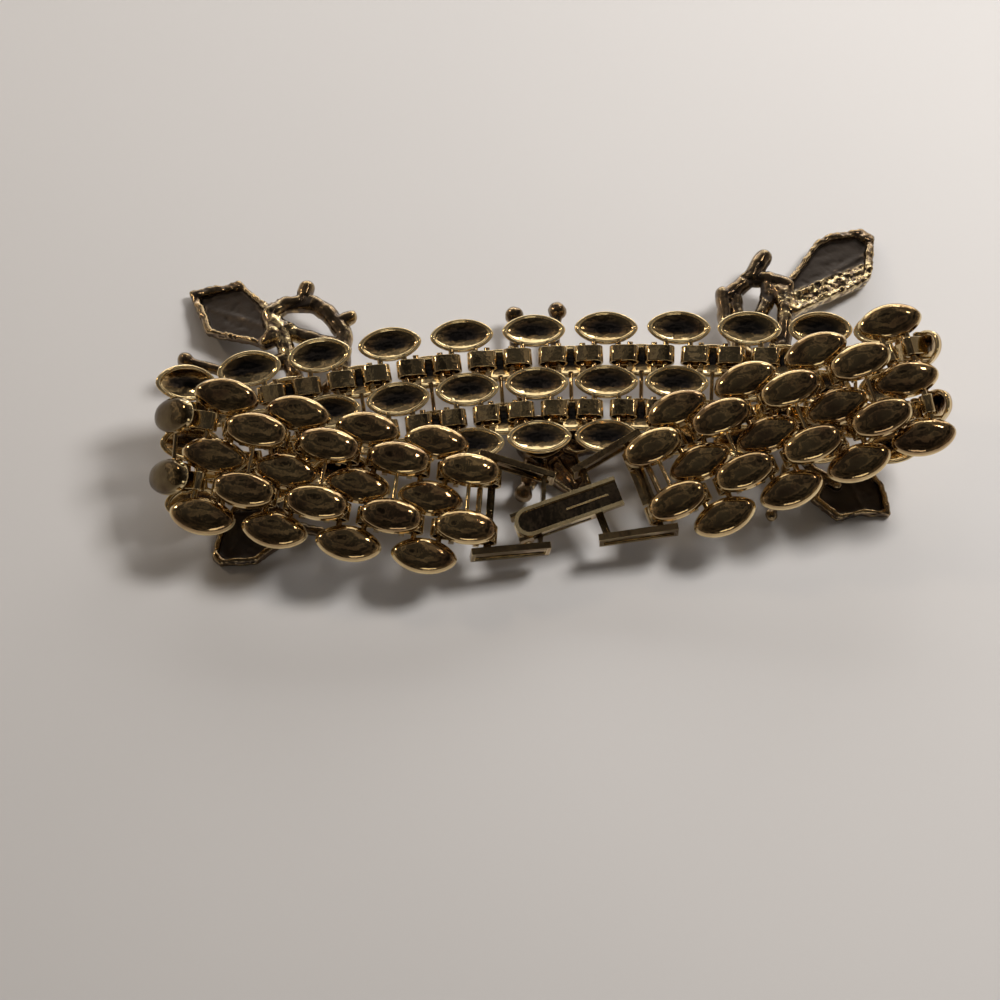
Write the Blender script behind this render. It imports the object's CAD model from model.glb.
import math

import bmesh
import bpy
from bpy.props import FloatProperty, FloatVectorProperty, IntProperty, PointerProperty
from mathutils import Matrix, Vector, noise


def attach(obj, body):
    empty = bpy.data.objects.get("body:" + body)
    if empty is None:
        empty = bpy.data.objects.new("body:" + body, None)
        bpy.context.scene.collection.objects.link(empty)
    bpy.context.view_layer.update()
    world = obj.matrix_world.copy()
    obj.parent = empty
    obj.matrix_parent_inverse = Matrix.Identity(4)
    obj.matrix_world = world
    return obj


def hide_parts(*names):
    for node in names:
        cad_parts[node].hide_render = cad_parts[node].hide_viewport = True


bl_info = {
    "name": "Folded Link Bracelet",
    "version": (1, 0, 0),
    "blender": (4, 5, 0),
    "location": "3D View > Sidebar > Bracelet",
    "description": "Dresses a folded antique-gold link bracelet with cast leaf sprays",
    "category": "Object",
}

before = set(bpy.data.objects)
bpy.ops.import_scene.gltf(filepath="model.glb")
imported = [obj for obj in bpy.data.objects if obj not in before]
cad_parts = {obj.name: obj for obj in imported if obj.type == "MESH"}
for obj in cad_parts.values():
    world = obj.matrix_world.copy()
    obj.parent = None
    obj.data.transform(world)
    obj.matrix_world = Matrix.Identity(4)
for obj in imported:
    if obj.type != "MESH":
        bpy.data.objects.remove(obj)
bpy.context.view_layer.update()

MM = 0.001

# Where the middle link lies, and the joints of the band on each side of it, as in the
# CAD source. Columns: joints, bend, yaw and twist in degrees, slide, bar distance.
START_PLACE = (-1.59, -0.46, 5.8)
START_YAW = 2.2
START_ROLL = 5.0
LEFT_HALF = (
    (4, 0.3, 1.7, 1.4, -0.15, 1.27),
    (4, 0.3, 0.8, 2.6, -0.20, 1.28),
    (1, 0.0, -1.0, 2.0, -0.40, 1.35),
    (1, 24.0, -4.0, 3.5, -0.40, 1.43),
    (1, 103.0, 6.0, 7.0, -0.60, 1.34),
    (1, 50.0, 6.0, 5.0, -0.60, 1.76),
    (3, 0.0, 0.0, 3.2, -0.10, 1.34),
    (4, 0.6, -1.2, 0.8, -0.10, 1.34),
    (1, -2.0, 0.0, 0.0, 0.00, 1.34),
)
RIGHT_HALF = (
    (4, 0.7, -1.5, 1.1, 0.05, 1.30),
    (4, 0.5, 0.0, 2.0, 0.00, 1.33),
    (2, 11.5, 2.5, 1.6, -0.20, 1.31),
    (1, 40.0, 3.0, 4.0, -0.20, 1.32),
    (1, 112.0, -6.0, 2.0, -0.15, 1.33),
    (1, 13.0, -4.0, 0.5, -0.35, 1.45),
    (3, -1.4, -1.0, 0.5, -0.05, 1.40),
    (3, 0.5, -1.0, 0.5, 0.05, 1.36),
    (1, -10.0, 3.0, 0.0, 0.10, 1.36),
)
HALF_LINKS = 19


def turn(angle, axis):
    return Matrix.Rotation(math.radians(angle), 3, axis)


def joint_rows(half):
    return [row for row in half for _ in range(row[0])]


class Place:
    """Where a link lies: its middle and how it is turned."""

    def __init__(self, at, turned):
        self.at, self.turned = at, turned

    def axis(self, i):
        return self.turned.col[i].copy()

    def point(self, p):
        return self.at + self.turned @ Vector(p)

    def matrix(self):
        return Matrix.Translation(self.at) @ self.turned.to_4x4()


def next_place(place, row, side, bar_offset):
    turned = place.turned @ turn(-side * row[1], "Y") @ turn(row[2], "Z") @ turn(row[3], "X")
    new = Place(place.at, turned)
    along = (place.axis(0) + new.axis(0)).normalized()
    across = (place.axis(1) + new.axis(1)).normalized()
    bars = bar_offset * (place.axis(0) + new.axis(0)) + row[5] * along
    return Place(place.at + side * bars + row[4] * across, turned)


def band_places(bar_offset):
    """Places of all links and of the two clasp frames, by their number from the middle."""
    middle = Place(Vector(START_PLACE), turn(START_YAW, "Z") @ turn(START_ROLL, "X"))
    places = {0: middle}
    for side, half in ((-1, LEFT_HALF), (1, RIGHT_HALF)):
        place = middle
        for k, row in enumerate(joint_rows(half), 1):
            place = next_place(place, row, side, bar_offset)
            places[side * k] = place
    return places


def turned_to(along, across):
    x = along.normalized()
    z = x.cross(across).normalized()
    return Matrix((x, z.cross(x), z)).transposed()


def ring_place(places, i, y, bar_offset):
    rows = joint_rows(LEFT_HALF if i < 0 else RIGHT_HALF)
    slide = rows[-i - 1 if i < 0 else i][4]
    shift = (-1 if i < 0 else 1) * slide / 2
    a, b = places[i], places[i + 1]
    p = a.point((bar_offset, y + shift, 0))
    q = b.point((-bar_offset, y - shift, 0))
    return Place((p + q) / 2, turned_to(q - p, a.axis(1) + b.axis(1))), (q - p).length


def link_name(i):
    return ("triple_link_" if i % 2 == 0 else "double_link_") + str(i + HALF_LINKS + 1)


# ---------------------------------------------------------------- mesh helpers


def add_part(bm, part, matrix=None):
    """Adds one bmesh to another, moved by matrix, and frees it."""
    if matrix is not None:
        bmesh.ops.transform(part, matrix=matrix, verts=part.verts)
        if matrix.to_3x3().determinant() < 0:
            bmesh.ops.reverse_faces(part, faces=part.faces)
    mesh = bpy.data.meshes.new("part")
    part.to_mesh(mesh)
    part.free()
    bm.from_mesh(mesh)
    bpy.data.meshes.remove(mesh)


def new_bmesh():
    bm = bmesh.new()
    bm.verts.layers.float.new("lip")
    return bm


def finish_piece(name, bm, material, body, nodes, flats=False):
    """Makes a piece from a bmesh in millimetres and says what it stands for."""
    bmesh.ops.scale(bm, vec=(MM, MM, MM), verts=bm.verts)
    mesh = bpy.data.meshes.new(name)
    bm.to_mesh(mesh)
    bm.free()
    return finish_mesh(name, mesh, material, body, nodes, flats)


def finish_mesh(name, mesh, material, body, nodes, flats=False):
    """Makes a piece from a mesh in metres. flats keeps the shading of large flat faces even."""
    mesh.name = name
    mesh.materials.append(material)
    mesh.shade_smooth()
    obj = bpy.data.objects.new(name, mesh)
    bpy.context.scene.collection.objects.link(obj)
    if flats:
        obj.modifiers.new("even shading", "WEIGHTED_NORMAL").keep_sharp = True
    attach(obj, body)
    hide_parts(*nodes)
    return obj


def spun(profile, steps=32):
    """A closed shape turned about z from a profile of (radius, height) points."""
    bm = new_bmesh()
    verts = [bm.verts.new((r, 0, z)) for r, z in profile]
    edges = [bm.edges.new(pair) for pair in zip(verts, verts[1:])]
    bmesh.ops.spin(
        bm,
        geom=verts + edges,
        axis=(0, 0, 1),
        cent=(0, 0, 0),
        angle=2 * math.pi,
        steps=steps,
        use_merge=True,
    )
    bmesh.ops.remove_doubles(bm, verts=bm.verts, dist=1e-5)
    bmesh.ops.recalc_face_normals(bm, faces=bm.faces)
    return bm


def round_bar(length, d, flare=0.0, steps=20, lip=0.5):
    """A bar along y from 0 to length, thicker where it meets a plate."""
    r, f = d / 2, flare
    profile = [(0, 0), (r + f, 0), (r + f * 0.45, f * 0.5)]
    profile += [(r + f * 0.1, f * 1.3), (r, f * 2 + 0.05), (r, length / 2)]
    profile += [(x, length - z) for x, z in reversed(profile[:-1])]
    bm = spun(profile, steps)
    mark_lip(bm, lip)
    bmesh.ops.rotate(bm, cent=(0, 0, 0), matrix=turn(-90, "X"), verts=bm.verts)
    return bm


def sharp_edges(bm, degrees):
    """Edges where two faces meet at more than an angle."""
    limit = math.radians(degrees)
    return [e for e in bm.edges if len(e.link_faces) == 2 and e.calc_face_angle(0) > limit]


def round_edges(bm, edges, width, clamp=False):
    bmesh.ops.bevel(
        bm,
        geom=edges,
        offset=width,
        offset_type="OFFSET",
        segments=2,
        profile=0.5,
        material=-1,
        affect="EDGES",
        clamp_overlap=clamp,
    )


def mark_lip(bm, lip):
    """Says how bright the gold of a whole shape is."""
    layer = bm.verts.layers.float["lip"]
    for v in bm.verts:
        v[layer] = lip


def block(low, high, bevel, lip=0.6):
    """A box between two corners with rounded edges."""
    bm = new_bmesh()
    bmesh.ops.create_cube(bm, size=1)
    low, high = Vector(low), Vector(high)
    bmesh.ops.scale(bm, vec=high - low, verts=bm.verts)
    bmesh.ops.translate(bm, vec=(low + high) / 2, verts=bm.verts)
    round_edges(bm, bm.edges[:], bevel)
    mark_lip(bm, lip)
    return bm


# ---------------------------------------------------------------- plates


class PlateShape:
    """The skin of a plate: a long form turned about x, cut at its rim plane."""

    def __init__(self, length, width, height, end_r=None):
        self.l, self.w, self.h, self.end_r = length, width, height, end_r
        self.drop = (width * width / 4 - height * height) / (2 * height)
        self.top_r = height + self.drop
        if end_r is None:
            self.arc_r = (length * length / 4 + height * height) / (2 * height)
        else:
            self.end_x = length / 2 - math.sqrt(end_r * end_r - self.drop * self.drop)
            self.side_r = (self.top_r**2 + self.end_x**2 - end_r**2) / (2 * (self.top_r - end_r))
            self.join_x = self.end_x + end_r * self.end_x / (self.side_r - end_r)

    def top(self, x):
        x = abs(x)
        if self.end_r is None:
            return self.top_r - self.arc_r + math.sqrt(max(self.arc_r**2 - x * x, 0))
        if x < self.join_x:
            return self.top_r - self.side_r + math.sqrt(self.side_r**2 - x * x)
        return math.sqrt(max(self.end_r**2 - (x - self.end_x) ** 2, 0))

    def rim_radius(self, angle):
        """Distance from the middle to the rim in a direction."""
        c, s = math.cos(angle), math.sin(angle)
        low, high = 0.0, self.l / 2
        for _ in range(40):
            r = (low + high) / 2
            inside = self.top(r * c) ** 2 - (r * s) ** 2 >= self.drop**2
            low, high = (r, high) if inside else (low, r)
        return low


# Rings of points across a plate, from the middle of its hollow to the middle of its
# dome. Columns: surface, share of the way out, how bright its gold is.
PLATE_RINGS = (
    ("hollow", 0.0, 0.0),
    ("hollow", 0.2, 0.0),
    ("hollow", 0.4, 0.01),
    ("hollow", 0.56, 0.04),
    ("hollow", 0.7, 0.12),
    ("hollow", 0.82, 0.3),
    ("hollow", 0.92, 0.6),
    ("hollow", 1.0, 0.95),
    ("lip", 0.05, 1.0),
    ("lip", 0.22, 1.0),
    ("lip", 0.45, 1.0),
    ("lip", 0.7, 1.0),
    ("lip", 0.9, 1.0),
    ("edge", 1.0, 1.0),
    ("bead", 0.994, 1.0),
    ("bead", 0.972, 0.9),
    ("dome", 0.955, 0.5),
    ("dome", 0.92, 0.35),
    ("dome", 0.87, 0.25),
    ("dome", 0.8, 0.2),
    ("dome", 0.7, 0.2),
    ("dome", 0.57, 0.2),
    ("dome", 0.42, 0.2),
    ("dome", 0.24, 0.2),
    ("dome", 0.0, 0.2),
)

# How far a lip's half-round crown stands over the rim of the hollow, in millimetres
LIP_CROWN = 0.2
# Depth of the hollow as a share of the room inside the plate
HOLLOW_SHARE = 0.45
# Depth under the lip at which each ring of the rolled edge lies, by its share
EDGE_DEPTHS = {1.0: 0.24, 0.994: 0.32, 0.972: 0.38}
# Power of the curve of a dome: 2 is an ellipse, more is a flatter pillow
PILLOW = 2.8
# A lip is this much wider at the tips of a plate than at its sides
TIP_LIP = 1.45


def gold_of_hollow(share, angle, shine):
    """Brightness in a hollow: dark, with a bright crescent on the near side."""
    near = max(-math.sin(angle), 0.0) if share else 0.0
    crescent = (share * (0.35 + near) - 0.4) / 0.2
    return max(shine, min(max(crescent, 0.0), 0.95))


def cupped_plate(shape, lip, room, rim_z, steps):
    """A hollow plate with a polished lip round its hollow, its dome pointing down."""
    rings = [(0.5 if row[1] else 0.0, float(k)) for k, row in enumerate(PLATE_RINGS)]
    bm = spun(rings, steps)
    layer = bm.verts.layers.float["lip"]
    in_x, in_y = 1 - lip * TIP_LIP / (shape.l / 2), 1 - lip / (shape.w / 2)
    for v in bm.verts:
        kind, share, shine = PLATE_RINGS[round(v.co.z)]
        v[layer] = shine
        angle = math.atan2(v.co.y, v.co.x)
        rim = shape.rim_radius(angle) if share else 0.0
        x, y = rim * math.cos(angle), rim * math.sin(angle)
        if kind == "hollow":
            v[layer] = gold_of_hollow(share, angle, shine)
            z = -HOLLOW_SHARE * room * (1 - share**2)
            v.co = (x * in_x * share, y * in_y * share, rim_z + z - LIP_CROWN)
        elif kind == "lip":
            sx, sy = in_x + (1 - in_x) * share, in_y + (1 - in_y) * share
            crown = -LIP_CROWN * (2 * share - 1) ** 2
            v.co = (x * sx, y * sy, rim_z + crown)
        elif kind == "dome":
            z = shape.h * (1 - share**PILLOW) ** (1 / PILLOW)
            v.co = (x * share, y * share, rim_z - z)
        else:
            v.co = (x * share, y * share, rim_z - EDGE_DEPTHS[share])
    bmesh.ops.recalc_face_normals(bm, faces=bm.faces)
    return bm


# ---------------------------------------------------------------- materials


def new_material(name):
    old = bpy.data.materials.get(name)
    if old:
        return old, None, None
    material = bpy.data.materials.new(name)
    material.use_nodes = True
    tree = material.node_tree
    return material, tree, tree.nodes["Principled BSDF"]


def add_noise(tree, scale, detail, rough=0.5):
    coord = tree.nodes.get("Object place") or tree.nodes.new("ShaderNodeTexCoord")
    coord.name = "Object place"
    node = tree.nodes.new("ShaderNodeTexNoise")
    node.inputs["Scale"].default_value = scale
    node.inputs["Detail"].default_value = detail
    node.inputs["Roughness"].default_value = rough
    tree.links.new(coord.outputs["Object"], node.inputs["Vector"])
    return node.outputs["Fac"]


def add_ramp(tree, source, stops):
    node = tree.nodes.new("ShaderNodeValToRGB")
    ramp = node.color_ramp
    while len(ramp.elements) < len(stops):
        ramp.elements.new(0.5)
    for element, (at, colour) in zip(ramp.elements, stops):
        element.position = at
        element.color = (*colour, 1)
    tree.links.new(source, node.inputs["Fac"])
    return node.outputs["Color"]


def add_mix(tree, share, a, b):
    node = tree.nodes.new("ShaderNodeMix")
    node.data_type = "RGBA"
    for socket, value in ((node.inputs[0], share), (node.inputs[6], a), (node.inputs[7], b)):
        if isinstance(value, bpy.types.NodeSocket):
            tree.links.new(value, socket)
        else:
            socket.default_value = (*value, 1)
    return node.outputs[2]


def add_range(tree, source, low, high, to_low, to_high):
    node = tree.nodes.new("ShaderNodeMapRange")
    for socket, value in zip(list(node.inputs)[1:5], (low, high, to_low, to_high)):
        socket.default_value = value
    tree.links.new(source, node.inputs[0])
    return node.outputs[0]


def add_bump(tree, shader, heights):
    """Chains bumps. heights: (source, strength, distance in metres)."""
    last = None
    for source, strength, distance in heights:
        node = tree.nodes.new("ShaderNodeBump")
        node.inputs["Strength"].default_value = strength
        node.inputs["Distance"].default_value = distance
        tree.links.new(source, node.inputs["Height"])
        if last:
            tree.links.new(last, node.inputs["Normal"])
        last = node.outputs["Normal"]
    tree.links.new(last, shader.inputs["Normal"])


def polished_gold(name, finish, darkness):
    """Polished antique gold: brown where it is worn dull, bright on lips and edges."""
    material, tree, shader = new_material(name)
    if tree is None:
        return material
    shader.inputs["Metallic"].default_value = 1.0
    lip = tree.nodes.new("ShaderNodeAttribute")
    lip.attribute_name = "lip"
    clouds = add_noise(tree, 260, 4, 0.6)
    grain = add_noise(tree, 2600, 3, 0.6)
    brown = [c * darkness for c in finish.brown_gold]
    body = add_ramp(tree, clouds, ((0.36, brown), (0.62, tuple(c * darkness for c in finish.gold))))
    edge = add_ramp(tree, clouds, ((0.25, tuple(finish.gold)), (0.75, tuple(finish.bright_gold))))
    in_hollow = add_range(tree, lip.outputs["Fac"], 0.01, 0.19, 0.0, 1.0)
    body = add_mix(tree, in_hollow, tuple(finish.hollow_black), body)
    share = add_range(tree, lip.outputs["Fac"], 0.25, 0.9, 0.0, 1.0)
    tree.links.new(add_mix(tree, share, body, edge), shader.inputs["Base Color"])
    pale = add_range(tree, lip.outputs["Fac"], 0.95, 1.0, 1.0, 0.85)
    tree.links.new(pale, shader.inputs["Metallic"])
    rough = add_range(tree, grain, 0.3, 0.7, finish.polish * 0.75, finish.polish * 1.5)
    tree.links.new(rough, shader.inputs["Roughness"])
    add_bump(tree, shader, ((clouds, 0.5, 0.00022), (grain, 0.12, 0.00001)))
    return material


def cast_gold(name, finish):
    """Cast metal with a glossy brown-black coat, rubbed gold on its ridges."""
    material, tree, shader = new_material(name)
    if tree is None:
        return material
    shader.inputs["Metallic"].default_value = 1.0
    ridge = tree.nodes.new("ShaderNodeNewGeometry").outputs["Pointiness"]
    marks = {}
    for mark in ("lip", "hollow"):
        marks[mark] = tree.nodes.new("ShaderNodeAttribute")
        marks[mark].attribute_name = mark
    patches = add_noise(tree, 520, 4, 0.6)
    crumbs = add_noise(tree, 1100, 4, 0.7)
    grain = add_noise(tree, 1700, 3, 0.6)
    black, brown = tuple(finish.cast_black), tuple(finish.cast_brown)
    dark = add_ramp(tree, patches, ((0.35, black), (0.7, brown)))
    worn = add_range(tree, ridge, 0.51, 0.57, 0.0, 0.9)
    dark = add_mix(tree, worn, dark, tuple(finish.gold))
    share = tree.nodes.new("ShaderNodeMath")
    share.operation = "MULTIPLY"
    tree.links.new(add_range(tree, crumbs, 0.47, 0.57, 0.0, 1.0), share.inputs[0])
    tree.links.new(marks["lip"].outputs["Fac"], share.inputs[1])
    colour = add_mix(tree, share.outputs[0], dark, tuple(finish.bright_gold))
    hollow = marks["hollow"].outputs["Fac"]
    flat_black = tuple(c * 0.7 for c in black)
    tree.links.new(add_mix(tree, hollow, colour, flat_black), shader.inputs["Base Color"])
    rough = add_range(tree, hollow, 0.0, 1.0, 0.2, 0.5)
    tree.links.new(rough, shader.inputs["Roughness"])
    add_bump(tree, shader, ((patches, 0.4, 0.0002), (grain, 0.2, 0.00004)))
    return material


def floor_paper(name, finish):
    """Matt pale paper, a little uneven."""
    material, tree, shader = new_material(name)
    if tree is None:
        return material
    clouds = add_noise(tree, 9, 3)
    fibre = add_noise(tree, 900, 4, 0.7)
    base = tuple(finish.floor)
    colour = add_ramp(tree, clouds, ((0.3, tuple(c * 0.97 for c in base)), (0.7, base)))
    tree.links.new(colour, shader.inputs["Base Color"])
    rough = add_range(tree, fibre, 0.3, 0.7, 0.82, 0.95)
    tree.links.new(rough, shader.inputs["Roughness"])
    add_bump(tree, shader, ((fibre, 0.06, 0.0001),))
    return material


# ---------------------------------------------------------------- settings


def size_value(name, description, default):
    return FloatProperty(name=name, description=description, default=default, min=0.0, precision=2)


def colour_value(name, description, default):
    return FloatVectorProperty(
        name=name, description=description, subtype="COLOR", default=default, min=0.0, max=1.0
    )


class BraceletSizes(bpy.types.PropertyGroup):
    """Sizes in millimetres, as in the CAD source."""

    pointed_l: size_value("Pointed plate length", "Length along the band", 7.7)
    pointed_w: size_value("Pointed plate width", "Width across the band", 4.4)
    pointed_h: size_value("Pointed plate depth", "Depth from rim to crown", 1.4)
    oval_l: size_value("Oval plate length", "Length along the band", 7.3)
    oval_w: size_value("Oval plate width", "Width across the band", 4.3)
    oval_h: size_value("Oval plate depth", "Depth from rim to crown", 1.4)
    oval_lift: size_value("Oval plate lift", "Height of the bars over the oval rims", 1.22)
    oval_end_r: size_value("Oval end radius", "Radius of the round ends", 1.85)
    lip_w: size_value("Lip width", "Width of the polished lip round a hollow", 0.42)
    row_pitch: size_value("Row pitch", "Distance between rows of pointed plates", 7.2)
    bar_offset: size_value("Bar offset", "Distance of a bar from its link's middle", 1.45)
    wire_d: size_value("Bar thickness", "Diameter of the bars", 0.7)
    plate_wall: size_value("Plate wall", "Thickness of a plate's metal", 0.45)
    ring_w: size_value("Ring width", "Width of the strap", 2.1)
    ring_wall: size_value("Ring wall", "Thickness of the strap", 0.3)
    ring_clear: size_value("Ring clearance", "Room between ring and bars", 0.18)
    frame_l: size_value("Frame length", "From a clasp frame's pin to its cross bar", 6.1)
    lid_w: size_value("Lid width", "Width of the folding lid", 3.6)
    cast_voxel: size_value("Casting detail", "Size of the smallest lump in the cast sprays", 0.2)
    plate_steps: IntProperty(
        name="Plate steps", description="Points round a plate", default=64, min=24
    )


class BraceletFinish(bpy.types.PropertyGroup):
    """Colours and polish of the metal and the stage."""

    gold: colour_value("Gold", "Antique gold", (0.6, 0.44, 0.225))
    bright_gold: colour_value("Bright gold", "Gold of lips and rubbed edges", (0.98, 0.79, 0.45))
    brown_gold: colour_value("Brown gold", "Gold under old lacquer", (0.31, 0.2, 0.11))
    hollow_black: colour_value("Hollow black", "Dark coating in the hollows", (0.1, 0.088, 0.08))
    cast_black: colour_value("Cast black", "Blackened metal in the castings", (0.085, 0.07, 0.06))
    cast_brown: colour_value("Cast brown", "Thinner black on the castings", (0.3, 0.21, 0.13))
    floor: colour_value("Floor", "Colour of the floor", (0.62, 0.6, 0.59))
    polish: FloatProperty(
        name="Polish",
        description="Roughness of the polished gold",
        subtype="FACTOR",
        default=0.08,
        min=0.02,
        max=0.6,
    )


def settings(context):
    return context.scene.bracelet_sizes, context.scene.bracelet_finish


# ---------------------------------------------------------------- pieces


# Height of a pointed plate's rim over its bars, and thickness of the cross wire and of
# the staples' legs behind the oval plates, in millimetres
RIM_OVER_BAR = 0.05
CROSS_WIRE = 0.5
STAPLE_LEG = 0.35


def triple_link_mesh(sizes):
    """Three pointed plates joined by two bars in each gap."""
    bm = new_bmesh()
    shape = PlateShape(sizes.pointed_l, sizes.pointed_w, sizes.pointed_h)
    rim = sizes.wire_d / 2 + RIM_OVER_BAR
    room = sizes.pointed_h - sizes.plate_wall
    for row in (-1, 0, 1):
        plate = cupped_plate(shape, sizes.lip_w, room, rim, sizes.plate_steps)
        add_part(bm, plate, Matrix.Translation((0, row * sizes.row_pitch, 0)))
    bar_from = sizes.pointed_w / 2 - sizes.plate_wall - 0.1
    for x in (-sizes.bar_offset, sizes.bar_offset):
        for row in (-1, 0):
            bar = round_bar(sizes.row_pitch - 2 * bar_from, sizes.wire_d, 0.1)
            add_part(bm, bar, Matrix.Translation((x, row * sizes.row_pitch + bar_from, 0)))
    return link_mesh(bm, "triple link")


def double_link_mesh(sizes, free_side):
    """Two oval plates with staples behind them, joined by a cross wire."""
    bm = new_bmesh()
    shape = PlateShape(sizes.oval_l, sizes.oval_w, sizes.oval_h, sizes.oval_end_r)
    seat = sizes.oval_w / 2 - sizes.plate_wall
    staple = seat - 0.18
    lift = sizes.oval_lift
    room = sizes.oval_h - sizes.plate_wall
    for row in (-0.5, 0.5):
        y0 = row * sizes.row_pitch
        plate = cupped_plate(shape, sizes.lip_w, room, -lift, sizes.plate_steps)
        add_part(bm, plate, Matrix.Translation((0, y0, 0)))
        for x in (-sizes.bar_offset, sizes.bar_offset):
            bar = round_bar(2 * staple, sizes.wire_d)
            add_part(bm, bar, Matrix.Translation((x, y0 - staple, 0)))
            for y in (-staple, staple):
                leg = block(
                    (x - sizes.wire_d / 2, y0 + y - STAPLE_LEG / 2, -lift - 0.2),
                    (x + sizes.wire_d / 2, y0 + y + STAPLE_LEG / 2, 0.2),
                    0.1,
                )
                add_part(bm, leg)
    cross = round_bar(sizes.row_pitch - 2 * seat, CROSS_WIRE, 0.08)
    add_part(bm, cross, Matrix.Translation((0, -sizes.row_pitch / 2 + seat, -lift + 0.15)))
    if free_side:
        bar = round_bar(sizes.row_pitch, sizes.wire_d)
        at = (free_side * sizes.bar_offset, -sizes.row_pitch / 2, 0)
        add_part(bm, bar, Matrix.Translation(at))
    return link_mesh(bm, "double link")


def link_mesh(bm, name):
    mesh = bpy.data.meshes.new(name)
    bm.to_mesh(mesh)
    bm.free()
    return mesh


# The link in the middle of the left bend, whose plates have kept a duller coating
BEND_LINK = -11


class BRACELET_OT_links(bpy.types.Operator):
    """Makes the links of three pointed plates and of two oval plates along the band"""

    bl_idname = "bracelet.links"
    bl_label = "Links"

    def execute(self, context):
        sizes, finish = settings(context)
        material = polished_gold("plate gold", finish, 1.0)
        dull = polished_gold("dull plate gold", finish, 0.25)
        triple = triple_link_mesh(sizes)
        doubles = {side: double_link_mesh(sizes, side) for side in (-1, 0, 1)}
        places = band_places(sizes.bar_offset)
        for i in range(-HALF_LINKS, HALF_LINKS + 1):
            side = (i == HALF_LINKS) - (i == -HALF_LINKS)
            mesh = (triple if i % 2 == 0 else doubles[side]).copy()
            mesh.transform(Matrix.Scale(MM, 4) @ places[i].matrix())
            name = link_name(i)
            look = dull if i == BEND_LINK else material
            finish_mesh(name + "_dressed", mesh, look, "band", [name])
        for mesh in (triple, *doubles.values()):
            bpy.data.meshes.remove(mesh)
        return {"FINISHED"}


# How far each end of a strap ring is drawn out past its running clearance
RING_REACH = 0.26


def strap_ring(sizes, span):
    """A flat strap bent round two bars, with rounded edges."""
    inner = sizes.wire_d / 2 + sizes.ring_clear
    half = span / 2 + RING_REACH
    bm = new_bmesh()
    bmesh.ops.create_circle(bm, cap_ends=False, radius=inner + sizes.ring_wall, segments=24)
    for v in bm.verts:
        v.co.x += half if v.co.x > 1e-4 else -half if v.co.x < -1e-4 else 0
    ends = bmesh.ops.extrude_edge_only(bm, edges=bm.edges[:])
    moved = [e for e in ends["geom"] if isinstance(e, bmesh.types.BMVert)]
    bmesh.ops.translate(bm, vec=(0, 0, sizes.ring_w), verts=moved)
    bmesh.ops.translate(bm, vec=(0, 0, -sizes.ring_w / 2), verts=bm.verts)
    bmesh.ops.rotate(bm, cent=(0, 0, 0), matrix=turn(90, "X"), verts=bm.verts)
    bmesh.ops.recalc_face_normals(bm, faces=bm.faces)
    bmesh.ops.solidify(bm, geom=bm.faces[:], thickness=sizes.ring_wall)
    round_edges(bm, sharp_edges(bm, 57.3), 0.09)
    mark_lip(bm, 0.7)
    return bm


class BRACELET_OT_rings(bpy.types.Operator):
    """Makes the two rows of strap rings between the links"""

    bl_idname = "bracelet.rings"
    bl_label = "Strap rings"

    def execute(self, context):
        sizes, finish = settings(context)
        material = polished_gold("ring gold", finish, 0.8)
        places = band_places(sizes.bar_offset)
        for node, side in (("rings_far_row", 0.5), ("rings_near_row", -0.5)):
            bm = new_bmesh()
            for i in range(-HALF_LINKS - 1, HALF_LINKS + 1):
                place, span = ring_place(places, i, side * sizes.row_pitch, sizes.bar_offset)
                add_part(bm, strap_ring(sizes, span), place.matrix())
            finish_piece(node + "_dressed", bm, material, "band", [node], True)
        return {"FINISHED"}


# Faces of a clasp part over this many square millimetres are flats with a bright frame
FLAT_AREA = 0.35
# Points of a CAD mesh closer than this, in metres, are one point
WELD = 2e-6


def eased_copy(node, edge):
    """A copy of a CAD node with its flat faces joined and its sharp edges rounded bright."""
    bm = bmesh.new()
    bm.from_mesh(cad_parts[node].data)
    bmesh.ops.remove_doubles(bm, verts=bm.verts, dist=WELD)
    bmesh.ops.dissolve_limit(
        bm, angle_limit=math.radians(1.0), verts=bm.verts[:], edges=bm.edges[:], delimit=set()
    )
    round_edges(bm, sharp_edges(bm, 35), edge * MM, clamp=True)
    layer = bm.verts.layers.float.new("lip")
    for v in bm.verts:
        v[layer] = 0.95
    flats = [f for f in bm.faces if f.calc_area() > FLAT_AREA * MM * MM]
    bmesh.ops.inset_individual(bm, faces=flats, thickness=0.07 * MM, use_even_offset=True)
    for f in flats:
        for v in f.verts:
            v[layer] = 0.3
    return bm


def carried_copy(node, bm, material, body):
    mesh = bpy.data.meshes.new(node)
    bm.to_mesh(mesh)
    bm.free()
    return finish_mesh(node + "_dressed", mesh, material, body, [node], True)


# Heights in the clasp's own frame: the outer floor of the lid's tray, from and to, and the
# height past which its rims are rubbed bright. Then the corners of the line on that floor.
LID_FLOOR = (-1.75, -1.45)
LID_RIM = -1.85
LID_LINE = ((-1.6, -0.1, -1.72), (3.6, 0.1, -1.5))


def lid_copy(sizes):
    """The folding lid: rims rubbed bright, a dark floor and a thin pressed line on it."""
    bm = eased_copy("clasp_lid", 0.09)
    layer = bm.verts.layers.float["lip"]
    clasp = band_places(sizes.bar_offset)[HALF_LINKS + 1]
    clasp = Place(clasp.point((sizes.frame_l - sizes.bar_offset, 0, 0)), clasp.turned)
    back = clasp.matrix().inverted()
    for v in bm.verts:
        p = back @ (v.co / MM)
        inside = abs(p.y) < sizes.lid_w / 2 - 0.5
        if inside and LID_FLOOR[0] < p.z < LID_FLOOR[1]:
            v[layer] = 0.08
        elif p.z < LID_RIM:
            v[layer] = 1.0
    bmesh.ops.scale(bm, vec=(1 / MM,) * 3, verts=bm.verts)
    add_part(bm, block(*LID_LINE, 0.05, lip=1.0), clasp.matrix())
    bmesh.ops.scale(bm, vec=(MM,) * 3, verts=bm.verts)
    return bm


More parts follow.
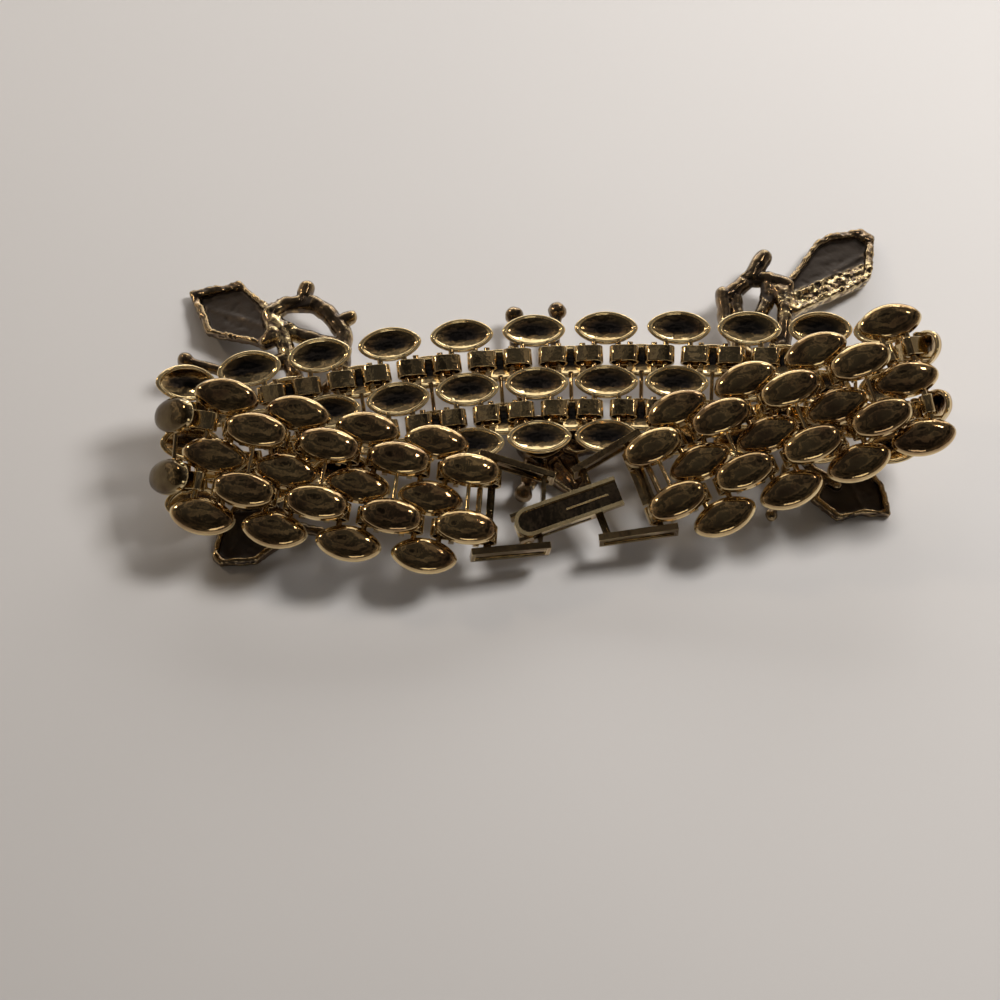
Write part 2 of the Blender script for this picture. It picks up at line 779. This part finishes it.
class BRACELET_OT_clasp(bpy.types.Operator):
    """Makes the two frames, the base and the folding lid of the clasp"""

    bl_idname = "bracelet.clasp"
    bl_label = "Clasp"

    def execute(self, context):
        sizes, finish = settings(context)
        material = polished_gold("clasp gold", finish, 0.9)
        for node in ("left_clasp_frame", "right_clasp_frame", "clasp_base"):
            carried_copy(node, eased_copy(node, 0.08), material, "band")
        carried_copy("clasp_lid", lid_copy(sizes), material, "lid")
        return {"FINISHED"}


# Parts of the castings that are thicker than plain twigs. Columns: left, right, near and
# far limits, extra thickness.
SWOLLEN = (
    (-35.5, -23.0, 1.0, 16.5, 0.36),
    (20.5, 30.5, 1.0, 21.0, 0.3),
)

# Places on the castings that are rubbed bright. Columns: ends of a line as x, y, then the
# width of the strip along it and how much of it is gold.
RUBBED = (
    ((29.5, 11.5), (40.5, 18.2), 2.4, 0.9),
    ((-33.0, 9.0), (-30.5, 4.5), 2.0, 1.0),
    ((-34.5, 13.0), (-33.0, 9.0), 1.6, 0.8),
    ((22.0, 9.0), (24.0, 4.0), 1.6, 0.7),
    ((-24.0, 9.0), (-24.5, 3.0), 1.2, 0.5),
)

# Leaves with a hollow back. Columns: root, tip, both from the point under the middle link.
LEAVES = (
    ((-32.5, 9.3, 4.7), (-43.0, 15.2, 1.56)),
    ((-33.0, -15.0, 1.5), (-36.8, -21.2, 1.33)),
    ((31.4, 13.6, 4.7), (42.9, 23.5, 1.58)),
    ((36.6, -9.6, 2.0), (39.4, -15.4, 1.4)),
)


# Reach of a leaf's hollow in millimetres: to each side, past its root and tip, and down
HOLLOW_REACH = (6, 2.5, 0.95)
# The steep side of a leaf's hollow ends at this height, and its floor begins
SIDE_END = -0.3
# Crumbs on the rubbed parts: their width and height in millimetres
CRUMBS = (0.7, 0.7)


def sunk_height(z):
    """Height in a leaf's hollow in place of z: twice as steep a side, then a flatter floor."""
    if z > SIDE_END:
        return z * 2
    return min(SIDE_END * 2 + (z - SIDE_END) * 0.25, z)


def flatten_hollows(mesh):
    """Sinks the plain vein into the floor of each hollow and marks that floor."""
    layer = mesh.attributes.new("hollow", "FLOAT", "POINT")
    rubbed = mesh.attributes["lip"].data
    under = Vector((START_PLACE[0], START_PLACE[1], 0))
    side, ends, down = HOLLOW_REACH
    for root, tip in LEAVES:
        root, tip = Vector(root), Vector(tip)
        place = Place(under + root, turned_to(tip - root, Vector((0, 0, 1)).cross(tip - root)))
        back = place.matrix().inverted()
        up = place.axis(2)
        middle = (under + (root + tip) / 2) * MM
        for k, v in enumerate(mesh.vertices):
            if (v.co - middle).length > 0.012 or v.normal.dot(up) < 0.2:
                continue
            p = back @ (v.co / MM)
            along = -ends < p.x < (tip - root).length + ends
            if along and abs(p.y) < side and -down < p.z < 0:
                plain = 1 - min(rubbed[k].value * 1.6, 1.0)
                layer.data[k].value = plain * min(max((-p.z - 0.2) / 0.2, 0.0), 1.0)
                crumb = max(noise.noise(p / CRUMBS[0]), 0.0) * CRUMBS[1] * (1 - plain)
                v.co += up * ((sunk_height(p.z) - p.z) * plain + crumb) * MM


def swell(p):
    """Extra thickness of a casting at a point, fading out at the sides of its box."""
    extra = 0.0
    for left, right, near, far, most in SWOLLEN:
        room = min(p.x - left, right - p.x, p.y - near, far - p.y)
        extra = max(extra, most * min(max(room, 0.0), 1.0))
    return extra


def rub_bright(mesh):
    """Marks how much of the metal is bare gold along each rubbed strip."""
    layer = mesh.attributes.new("lip", "FLOAT", "POINT")
    lines = [(Vector(a), Vector(b) - Vector(a), width, share) for a, b, width, share in RUBBED]
    for v, value in zip(mesh.vertices, layer.data):
        p = v.co.xy / MM
        for start, along, width, share in lines:
            if (p - start).length > along.length + width:
                continue
            part = min(max((p - start).dot(along) / along.length_squared, 0.0), 1.0)
            gap = (p - start - along * part).length
            value.value = max(value.value, share * min(max((width - gap) / 0.8, 0.0), 1.0))


# Lumps of a casting. Columns: their width and how far they stand out, in millimetres.
LUMPS = ((1.3, 0.14), (0.6, 0.05))


def melted_copy(node, voxel, seed):
    """A copy of a CAD node as one skin, softened and made lumpy as a casting is."""
    bm = bmesh.new()
    bm.from_mesh(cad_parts[node].data)
    bmesh.ops.remove_doubles(bm, verts=bm.verts, dist=WELD)
    mesh = bpy.data.meshes.new("casting")
    bm.to_mesh(mesh)
    bm.free()
    obj = bpy.data.objects.new("casting", mesh)
    bpy.context.scene.collection.objects.link(obj)
    remesh = obj.modifiers.new("skin", "REMESH")
    remesh.mode = "VOXEL"
    remesh.voxel_size = voxel * MM
    graph = bpy.context.evaluated_depsgraph_get()
    skin = bpy.data.meshes.new_from_object(obj.evaluated_get(graph))
    bpy.data.objects.remove(obj)
    bpy.data.meshes.remove(mesh)
    bm = bmesh.new()
    bm.from_mesh(skin)
    for _ in range(2):
        bmesh.ops.smooth_vert(
            bm, verts=bm.verts, factor=0.5, use_axis_x=True, use_axis_y=True, use_axis_z=True
        )
    bm.normal_update()
    for v in bm.verts:
        p = v.co / MM + seed
        lump = sum(noise.noise(p / width) * height for width, height in LUMPS)
        v.co += v.normal * ((lump + swell(v.co / MM)) * MM)
        v.co.z = max(v.co.z, 0.0)
    bm.to_mesh(skin)
    bm.free()
    return skin


class BRACELET_OT_sprays(bpy.types.Operator):
    """Makes the rough cast leaf and twig sprays from their plain forms"""

    bl_idname = "bracelet.sprays"
    bl_label = "Leaf sprays"

    def execute(self, context):
        sizes, finish = settings(context)
        material = cast_gold("cast gold", finish)
        for k, node in enumerate(("left_spray", "middle_spray", "right_spray")):
            mesh = melted_copy(node, sizes.cast_voxel, seed=Vector((31.7 * k, 12.3, 5.1)))
            rub_bright(mesh)
            flatten_hollows(mesh)
            finish_mesh(node + "_dressed", mesh, material, "band", [node])
        return {"FINISHED"}


# ---------------------------------------------------------------- stage


# Columns: name, place, what it points at, size (all in millimetres), watts, colour, and
# whether the metal shows it as a highlight.
LIGHTS = (
    ("main light", (180, 75, 265), (0, 0, 0), (90, 90), 0.84, (1.0, 0.985, 0.96), False),
    ("back window", (20, 330, 150), (0, 60, 0), (420, 120), 0.55, (0.97, 0.98, 1.0), False),
    ("pale card", (10, 330, 150), (0, 0, 0), (460, 110), 0.2, (1.0, 0.96, 0.88), True),
    ("bright pane", (110, 320, 215), (0, 0, 0), (70, 50), 0.06, (1.0, 0.99, 0.97), True),
    ("front card", (60, -320, 130), (0, 0, 0), (150, 70), 0.05, (1.0, 0.95, 0.84), True),
    ("low window", (40, 760, 50), (0, 0, 10), (900, 70), 1.3, (1.0, 0.99, 0.97), True),
    ("left lamp", (-340, 190, 270), (0, 0, 0), (46, 46), 0.22, (1.0, 0.82, 0.6), True),
    ("right lamp", (200, 160, 380), (0, 0, 0), (36, 20), 0.07, (1.0, 0.85, 0.68), True),
)


def make_world(context):
    """A dim room: bright low down behind the bracelet, dark overhead and at the front."""
    world = bpy.data.worlds.new("room")
    context.scene.world = world
    world.use_nodes = True
    tree = world.node_tree
    coord = tree.nodes.new("ShaderNodeTexCoord")
    split = tree.nodes.new("ShaderNodeSeparateXYZ")
    tree.links.new(coord.outputs["Generated"], split.inputs[0])
    room = add_ramp(
        tree,
        split.outputs["Z"],
        (
            (0.0, (0.62, 0.56, 0.5)),
            (0.28, (0.55, 0.5, 0.45)),
            (0.42, (0.235, 0.205, 0.18)),
            (0.7, (0.15, 0.135, 0.125)),
            (0.95, (0.105, 0.1, 0.1)),
        ),
    )
    things = tree.nodes.new("ShaderNodeTexNoise")
    things.inputs["Scale"].default_value = 2.2
    things.inputs["Detail"].default_value = 1
    tree.links.new(coord.outputs["Generated"], things.inputs["Vector"])
    spots = add_ramp(
        tree,
        things.outputs["Fac"],
        (
            (0.36, (0.06, 0.06, 0.06)),
            (0.42, (0.5, 0.47, 0.43)),
            (0.45, (0.12, 0.12, 0.12)),
            (0.53, (0.2, 0.2, 0.2)),
            (0.55, (0.8, 0.72, 0.62)),
            (0.62, (0.25, 0.25, 0.25)),
        ),
    )
    behind = add_range(tree, split.outputs["Y"], -0.6, 0.9, 0.5, 3.2)
    seen = tree.nodes.new("ShaderNodeMix")
    seen.data_type, seen.blend_type = "RGBA", "MULTIPLY"
    seen.inputs[0].default_value = 1.0
    tree.links.new(room, seen.inputs[6])
    tree.links.new(spots, seen.inputs[7])
    background = tree.nodes["Background"]
    tree.links.new(seen.outputs[2], background.inputs["Color"])
    tree.links.new(behind, background.inputs["Strength"])


# Where the camera stands in metres, its tilt from straight down and its lens
CAMERA_PLACE = (-0.00595, -0.15356, 0.24309)
CAMERA_TILT = 30
CAMERA_LENS = 84.67


class BRACELET_OT_stage(bpy.types.Operator):
    """Makes the floor, the lights and the camera"""

    bl_idname = "bracelet.stage"
    bl_label = "Stage"

    def execute(self, context):
        finish = settings(context)[1]
        bm = bmesh.new()
        bmesh.ops.create_grid(bm, x_segments=8, y_segments=8, size=1.5)
        mesh = bpy.data.meshes.new("floor")
        bm.to_mesh(mesh)
        bm.free()
        mesh.materials.append(floor_paper("floor paper", finish))
        floor = bpy.data.objects.new("floor", mesh)
        context.scene.collection.objects.link(floor)
        for name, place, aim, size, watts, colour, seen in LIGHTS:
            light = bpy.data.lights.new(name, "AREA")
            light.shape = "RECTANGLE"
            light.size, light.size_y = size[0] * MM, size[1] * MM
            light.energy = watts
            light.color = colour
            obj = bpy.data.objects.new(name, light)
            obj.visible_glossy = seen
            place, aim = Vector(place) * MM, Vector(aim) * MM
            obj.location = place
            obj.rotation_euler = (aim - place).to_track_quat("-Z", "Y").to_euler()
            context.scene.collection.objects.link(obj)
        make_world(context)
        camera = bpy.data.cameras.new("camera")
        camera.sensor_width = 36
        camera.lens = CAMERA_LENS
        camera.clip_start, camera.clip_end = 0.01, 10
        obj = bpy.data.objects.new("camera", camera)
        obj.location = CAMERA_PLACE
        obj.rotation_euler = (math.radians(CAMERA_TILT), 0, 0)
        context.scene.collection.objects.link(obj)
        context.scene.camera = obj
        context.scene.view_settings.view_transform = "Standard"
        return {"FINISHED"}


class BRACELET_PT_panel(bpy.types.Panel):
    """Lists the pieces of the bracelet"""

    bl_idname = "BRACELET_PT_panel"
    bl_label = "Folded link bracelet"
    bl_space_type = "VIEW_3D"
    bl_region_type = "UI"
    bl_category = "Bracelet"

    def draw(self, context):
        for step in STEPS:
            self.layout.operator(step)
        for group in settings(context):
            for name in group.bl_rna.properties.keys():
                if name not in ("rna_type", "name"):
                    self.layout.prop(group, name)


STEPS = ("bracelet.links", "bracelet.rings", "bracelet.clasp", "bracelet.sprays", "bracelet.stage")
CLASSES = (
    BraceletSizes,
    BraceletFinish,
    BRACELET_OT_links,
    BRACELET_OT_rings,
    BRACELET_OT_clasp,
    BRACELET_OT_sprays,
    BRACELET_OT_stage,
    BRACELET_PT_panel,
)


def register():
    for cls in CLASSES:
        bpy.utils.register_class(cls)
    bpy.types.Scene.bracelet_sizes = PointerProperty(type=BraceletSizes)
    bpy.types.Scene.bracelet_finish = PointerProperty(type=BraceletFinish)


def unregister():
    del bpy.types.Scene.bracelet_finish
    del bpy.types.Scene.bracelet_sizes
    for cls in reversed(CLASSES):
        bpy.utils.unregister_class(cls)


def main():
    register()
    for step in STEPS:
        group, name = step.split(".")
        getattr(getattr(bpy.ops, group), name)()


if __name__ == "__main__":
    main()
